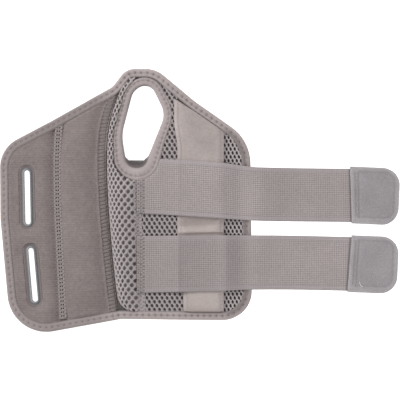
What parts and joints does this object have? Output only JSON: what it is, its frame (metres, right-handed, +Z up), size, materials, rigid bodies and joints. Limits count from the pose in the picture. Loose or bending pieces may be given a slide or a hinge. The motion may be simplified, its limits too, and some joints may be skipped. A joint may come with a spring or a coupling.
{
  "type": "wrist brace",
  "caption": "Padded cloth wrist brace opened out flat, with a bound thumb hole, mesh panel, stay pocket, slotted panel and elastic straps with hook tabs.",
  "frame": {"origin": "on the table under the middle of the opened-out brace", "axes": "+X along the straps towards their hook tabs, +Y along the forearm towards the thumb, +Z up off the table"},
  "size_m": [0.3013, 0.1984, 0.0115],
  "materials": {
    "shell_cloth": "matte brushed knit",
    "spacer_mesh": "matte open knit",
    "pocket_satin": "soft satin sheen",
    "binding_tape": "matte stretch tape",
    "seam_thread": "sewing thread",
    "slot_ring": "smooth, low gloss",
    "strap_webbing": "matte ribbed elastic",
    "hook_tape": "fine bristled hook tape"
  },
  "bodies": {
    "root": {"slot_panel": "shell_cloth", "middle_panel": "shell_cloth", "mesh_panel": "spacer_mesh", "splint_pocket": "pocket_satin", "edge_binding": "binding_tape", "thumb_binding": "binding_tape", "flatlock_seam": "seam_thread", "overlock_seam": "seam_thread", "slot_ring_upper": "slot_ring", "slot_ring_lower": "slot_ring", "strap_upper": "strap_webbing", "strap_lower": "strap_webbing", "hook_tab_upper": "hook_tape", "hook_tab_lower": "hook_tape"}
  },
  "joints": []
}
